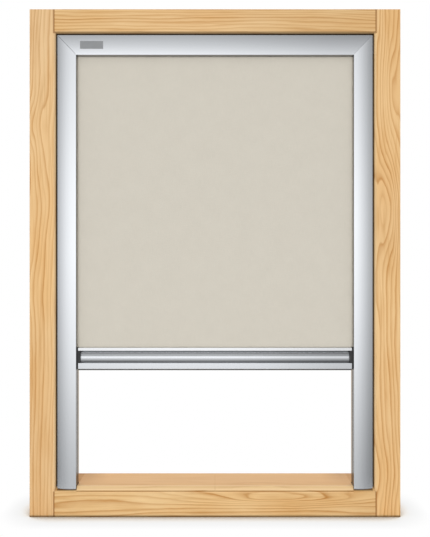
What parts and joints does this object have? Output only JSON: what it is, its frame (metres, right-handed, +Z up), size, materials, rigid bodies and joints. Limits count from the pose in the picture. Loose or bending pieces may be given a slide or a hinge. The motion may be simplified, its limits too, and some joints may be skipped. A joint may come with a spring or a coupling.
{
  "type": "skylight window blind",
  "caption": "Pine skylight sash with a roller blind: cambered aluminium side guides and header, taut plain fabric, and a grooved pull bar that slides up and down.",
  "frame": {"origin": "middle of the sash's bottom face, half way through its depth", "axes": "+X to the right seen from the room, +Y back towards the pane, +Z up along the stiles"},
  "size_m": [0.66, 0.094, 0.904],
  "materials": {
    "pine": "clear lacquered pine",
    "aluminium": "satin anodised",
    "blind_cloth": "plain matt weave",
    "dark_plastic": "fine textured",
    "steel": "zinc plated",
    "felt": "pressed felt",
    "seal_rubber": "matt"
  },
  "bodies": {
    "root": {"left_stile": "pine", "right_stile": "pine", "top_rail": "pine", "bottom_rail": "pine", "header_casing": "aluminium", "left_side_cover": "aluminium", "right_side_cover": "aluminium", "left_guide_rail": "aluminium", "right_guide_rail": "aluminium", "blind_fabric": "blind_cloth", "left_header_bracket": "dark_plastic", "right_header_bracket": "dark_plastic", "left_guide_foot": "dark_plastic", "right_guide_foot": "dark_plastic", "idle_pin": "steel", "spring_arbor": "steel", "roller_spring": "steel", "left_rail_screw_1": "steel", "left_rail_screw_2": "steel", "left_rail_screw_3": "steel", "right_rail_screw_1": "steel", "right_rail_screw_2": "steel", "right_rail_screw_3": "steel", "left_bracket_screw_1": "steel", "left_bracket_screw_2": "steel", "right_bracket_screw_1": "steel", "right_bracket_screw_2": "steel"},
    "bottom_bar": {"bottom_bar": "aluminium", "bar_seal": "seal_rubber", "fabric_spline": "dark_plastic", "left_bar_plug": "dark_plastic", "right_bar_plug": "dark_plastic", "left_guide_shoe": "dark_plastic", "right_guide_shoe": "dark_plastic", "left_friction_pad": "felt", "right_friction_pad": "felt", "left_pad_spring": "steel", "right_pad_spring": "steel"},
    "roller": {"fabric_roll": "blind_cloth", "roller_tube": "aluminium", "idle_plug": "dark_plastic", "bearing_plug": "dark_plastic", "spring_anchor_plug": "dark_plastic"}
  },
  "joints": [
    {"name": "bar_slide", "type": "slide", "parent": "root", "child": "bottom_bar", "axis": [0, 0, 1], "range_m": [-0.2055, 0.5195], "deforming": ["blind_fabric"]},
    {"name": "roller_turn", "type": "hinge", "parent": "root", "child": "roller", "pos_m": [0, -0.02024, 0.8409], "axis": [1, 0, 0], "range_deg": [-2345, 925]}
  ],
  "couplings": [
    {"joint": "roller_turn", "follows": "bar_slide", "rad_per_m": -78.37}
  ]
}
